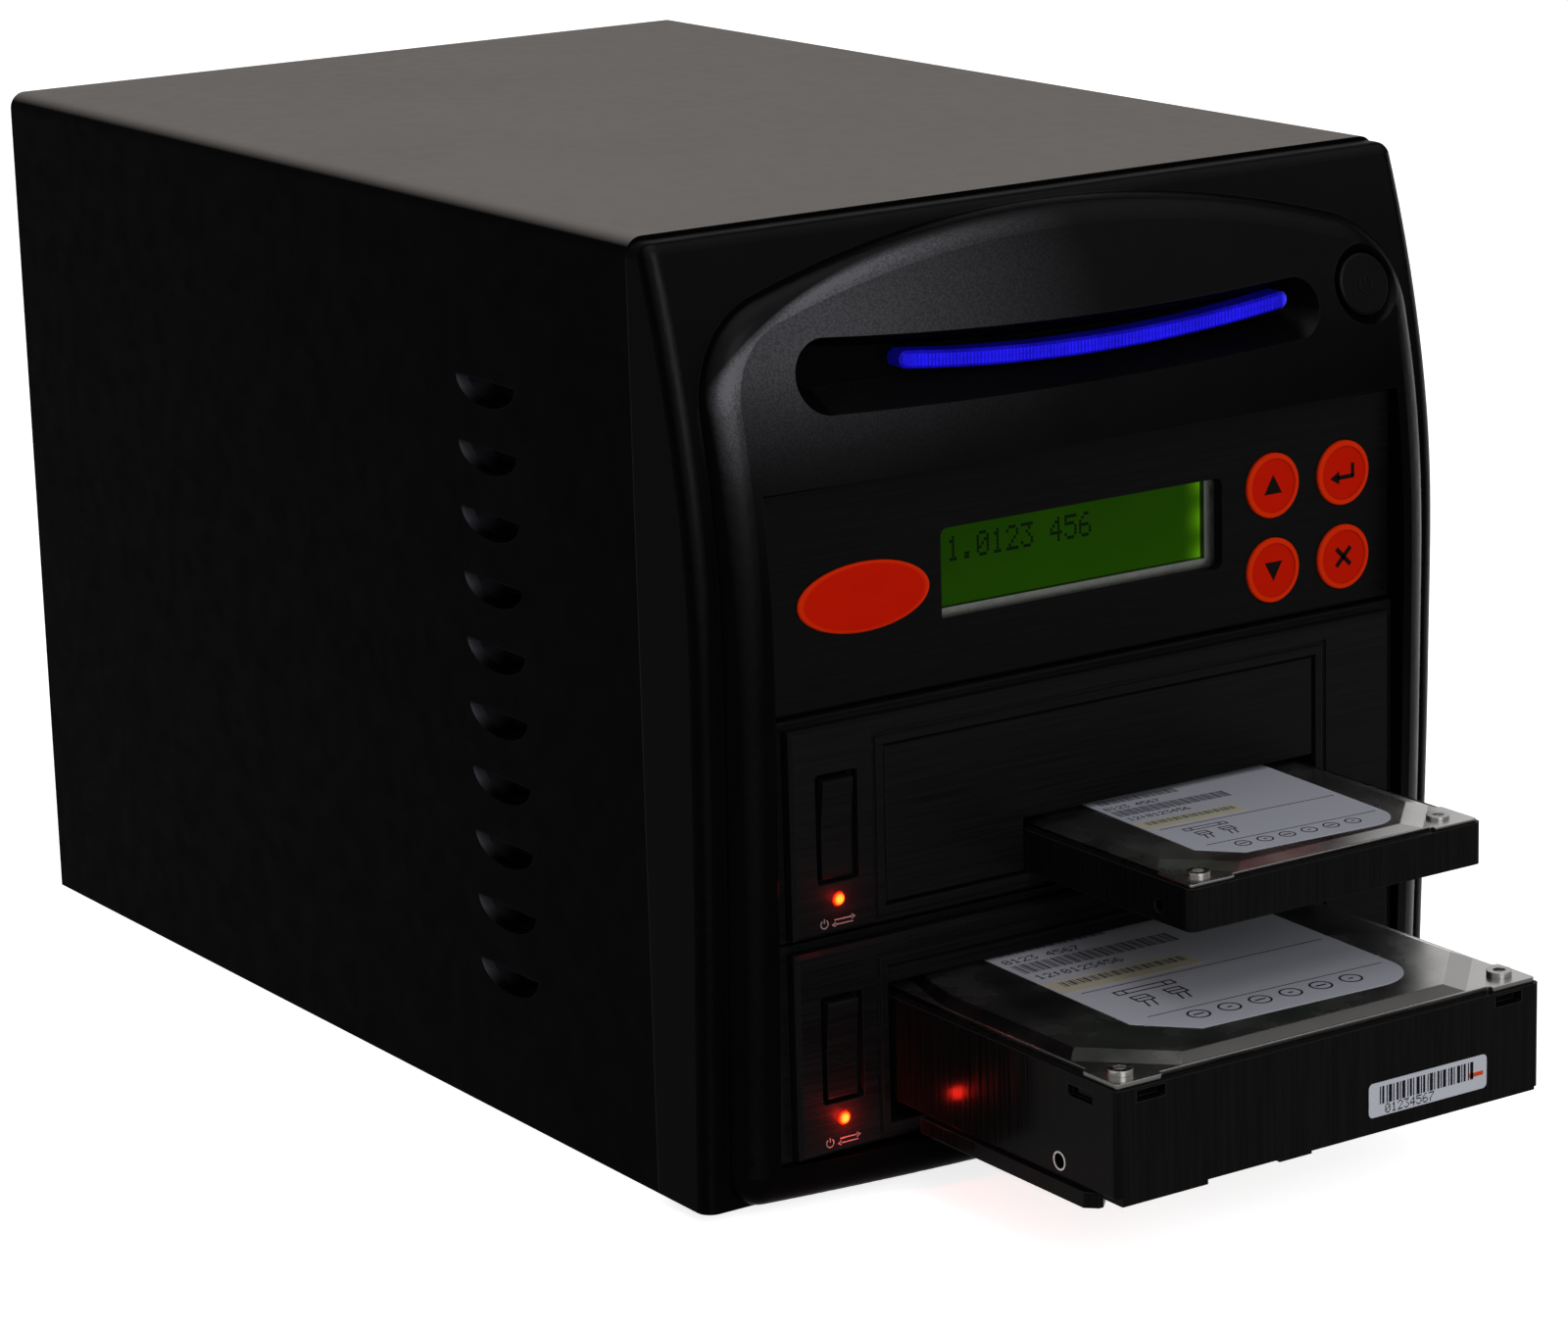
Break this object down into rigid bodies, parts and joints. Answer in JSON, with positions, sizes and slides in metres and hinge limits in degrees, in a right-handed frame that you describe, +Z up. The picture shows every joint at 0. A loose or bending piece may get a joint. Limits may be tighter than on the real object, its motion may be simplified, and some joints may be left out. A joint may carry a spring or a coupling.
{
  "type": "drive duplicator",
  "caption": "Desktop drive duplicator tower with a display and keys above stacked trayless drive racks, drives part way out on slides.",
  "frame": {"origin": "on the table, under the middle of the whole box, drives included", "axes": "+Z up, front faces -Y, +X to the right as seen from the front"},
  "size_m": [0.175, 0.3483, 0.1845],
  "materials": {
    "black_abs": "black moulded plastic, fine pebbled texture",
    "black_steel": "black powder coat, fine texture, satin",
    "board_green": "solder-masked circuit board",
    "cast_black": "black coated die casting",
    "guide_grey": "dark moulded plastic",
    "key_red": "orange-red, satin",
    "lcd_green": "lit green display",
    "lcd_metal": "pale display frame",
    "led_red": "red lens, lit",
    "lid_steel": "polished stainless lid",
    "light_blue": "clear ribbed light pipe, lit blue",
    "panel_black": "satin black overlay",
    "plain_steel": "zinc plated sheet",
    "rack_black": "black moulded plastic, faint brushed lines",
    "rubber_black": "black rubber",
    "screw_steel": "bright screws",
    "switch_black": "black glossy plastic"
  },
  "bodies": {
    "case": {"base_pan": "plain_steel", "bay_cage": "plain_steel", "bezel": "black_abs", "board_tray": "plain_steel", "case_screws": "screw_steel", "control_panel": "panel_black", "controller_board": "board_green", "cover": "black_steel", "fan_frame": "switch_black", "fan_grille": "screw_steel", "feet": "rubber_black", "front_badge": "key_red", "front_bulkhead": "plain_steel", "key_board": "board_green", "lcd_board": "board_green", "lcd_frame": "lcd_metal", "lcd_glass": "lcd_green", "light_board": "board_green", "light_pipe": "light_blue", "lower_flap_pin": "screw_steel", "lower_rack_backplane": "board_green", "lower_rack_cage": "plain_steel", "lower_rack_face": "rack_black", "lower_rack_guide": "guide_grey", "lower_rack_led": "led_red", "lower_rack_switch": "switch_black", "mains_switch_frame": "switch_black", "power_inlet": "switch_black", "power_switch": "switch_black", "psu_case": "plain_steel", "psu_fan_frame": "switch_black", "rear_panel": "black_steel", "upper_flap_pin": "screw_steel", "upper_rack_backplane": "board_green", "upper_rack_cage": "plain_steel", "upper_rack_face": "rack_black", "upper_rack_guide": "guide_grey", "upper_rack_led": "led_red", "upper_rack_switch": "switch_black"},
    "large_drive": {"large_drive_casting": "cast_black", "large_drive_board": "board_green", "large_drive_lid": "lid_steel", "large_drive_screws": "screw_steel"},
    "small_drive": {"small_drive_casting": "cast_black", "small_drive_board": "board_green", "small_drive_lid": "lid_steel", "small_drive_screws": "screw_steel"},
    "lower_flap": {"lower_rack_flap": "rack_black"},
    "upper_flap": {"upper_rack_flap": "rack_black"},
    "lower_rocker": {"lower_rack_rocker": "rack_black"},
    "upper_rocker": {"upper_rack_rocker": "rack_black"},
    "key_up": {"key_up": "key_red"},
    "key_enter": {"key_enter": "key_red"},
    "key_down": {"key_down": "key_red"},
    "key_escape": {"key_escape": "key_red"},
    "power_button": {"power_button": "black_abs"},
    "fan_rotor": {"fan_rotor": "switch_black"},
    "psu_fan_rotor": {"psu_fan_rotor": "switch_black"},
    "mains_rocker": {"mains_switch_rocker": "switch_black"}
  },
  "joints": [
    {"name": "large_drive_slide", "type": "slide", "parent": "case", "child": "large_drive", "axis": [0, -1, 0], "range_m": [-0.0657, 0.0863]},
    {"name": "small_drive_slide", "type": "slide", "parent": "case", "child": "small_drive", "axis": [0, -1, 0], "range_m": [-0.0948, 0.0572]},
    {"name": "lower_flap_hinge", "type": "hinge", "parent": "case", "child": "lower_flap", "pos_m": [0.0008, -0.10425, 0.0444], "axis": [1, 0, 0], "range_deg": [0, 4], "stiffness_Nm_per_rad": 0.01, "springref_deg": -107.14},
    {"name": "lower_rocker_tilt", "type": "hinge", "parent": "case", "child": "lower_rocker", "pos_m": [-0.0613, -0.10135, 0.0324], "axis": [1, 0, 0], "range_deg": [-7, 0]},
    {"name": "upper_flap_hinge", "type": "hinge", "parent": "case", "child": "upper_flap", "pos_m": [0.0008, -0.10425, 0.08707], "axis": [1, 0, 0], "range_deg": [0, 80], "stiffness_Nm_per_rad": 0.01, "springref_deg": -17.19},
    {"name": "upper_rocker_tilt", "type": "hinge", "parent": "case", "child": "upper_rocker", "pos_m": [-0.0613, -0.10135, 0.07507], "axis": [1, 0, 0], "range_deg": [-7, 0]},
    {"name": "key_up_press", "type": "slide", "parent": "case", "child": "key_up", "axis": [0, 1, 0], "range_m": [0, 0.0008], "stiffness_N_per_m": 400, "springref_m": -0.0006},
    {"name": "key_enter_press", "type": "slide", "parent": "case", "child": "key_enter", "axis": [0, 1, 0], "range_m": [0, 0.0008], "stiffness_N_per_m": 400, "springref_m": -0.0006},
    {"name": "key_down_press", "type": "slide", "parent": "case", "child": "key_down", "axis": [0, 1, 0], "range_m": [0, 0.0008], "stiffness_N_per_m": 400, "springref_m": -0.0006},
    {"name": "key_escape_press", "type": "slide", "parent": "case", "child": "key_escape", "axis": [0, 1, 0], "range_m": [0, 0.0008], "stiffness_N_per_m": 400, "springref_m": -0.0006},
    {"name": "power_button_press", "type": "slide", "parent": "case", "child": "power_button", "axis": [0, 1, 0], "range_m": [0, 0.0025], "stiffness_N_per_m": 400, "springref_m": -0.001},
    {"name": "fan_spin", "type": "hinge", "parent": "case", "child": "fan_rotor", "pos_m": [0, 0.16065, 0.0665], "axis": [0, 1, 0], "continuous": true},
    {"name": "psu_fan_spin", "type": "hinge", "parent": "case", "child": "psu_fan_rotor", "pos_m": [0.02, 0.16165, 0.16095], "axis": [0, 1, 0], "continuous": true},
    {"name": "mains_rocker_tilt", "type": "hinge", "parent": "case", "child": "mains_rocker", "pos_m": [-0.0044, 0.16565, 0.16095], "axis": [1, 0, 0], "range_deg": [0, 12]}
  ]
}
